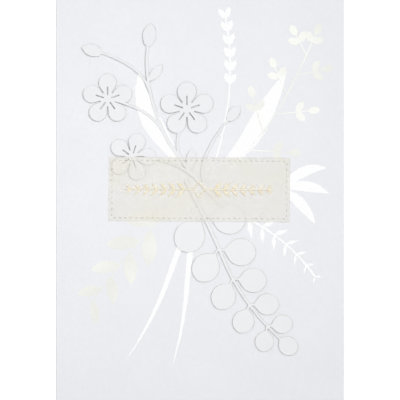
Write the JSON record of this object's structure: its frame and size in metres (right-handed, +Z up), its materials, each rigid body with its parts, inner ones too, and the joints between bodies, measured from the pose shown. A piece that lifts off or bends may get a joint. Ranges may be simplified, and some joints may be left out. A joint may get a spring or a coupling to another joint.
{
  "type": "greeting card",
  "caption": "Folded portrait greeting card, closed, with foil and pearl print, two die-cut paper sprays on pads and a stitched-look translucent label with a foil garland.",
  "frame": {"origin": "middle of the footprint of the closed card, on the surface that its back panel lies on", "axes": "+Z up, out of the front panel's side; +Y towards the card's top edge; the fold runs along Y at -X"},
  "size_m": [0.127, 0.1778, 0.0049],
  "materials": {
    "board": "white felt-marked card, matte",
    "silver_foil": "hot-stamped silver foil, bright",
    "pearl_ink": "pearlescent ivory ink, satin",
    "foam": "white foam adhesive pad",
    "leaf_paper": "white die-cut paper, matte",
    "blossom_paper": "white die-cut paper, matte",
    "vellum": "translucent vellum, satin",
    "gold_foil": "hot-stamped gold foil, bright"
  },
  "bodies": {
    "root": {"card_sheet": "board", "silver_foil": "silver_foil", "pearl_print": "pearl_ink", "leaf_pads": "foam", "leaf_spray": "leaf_paper", "blossom_pads": "foam", "blossom_spray": "blossom_paper", "vellum_label": "vellum", "gold_garland": "gold_foil"}
  },
  "joints": []
}
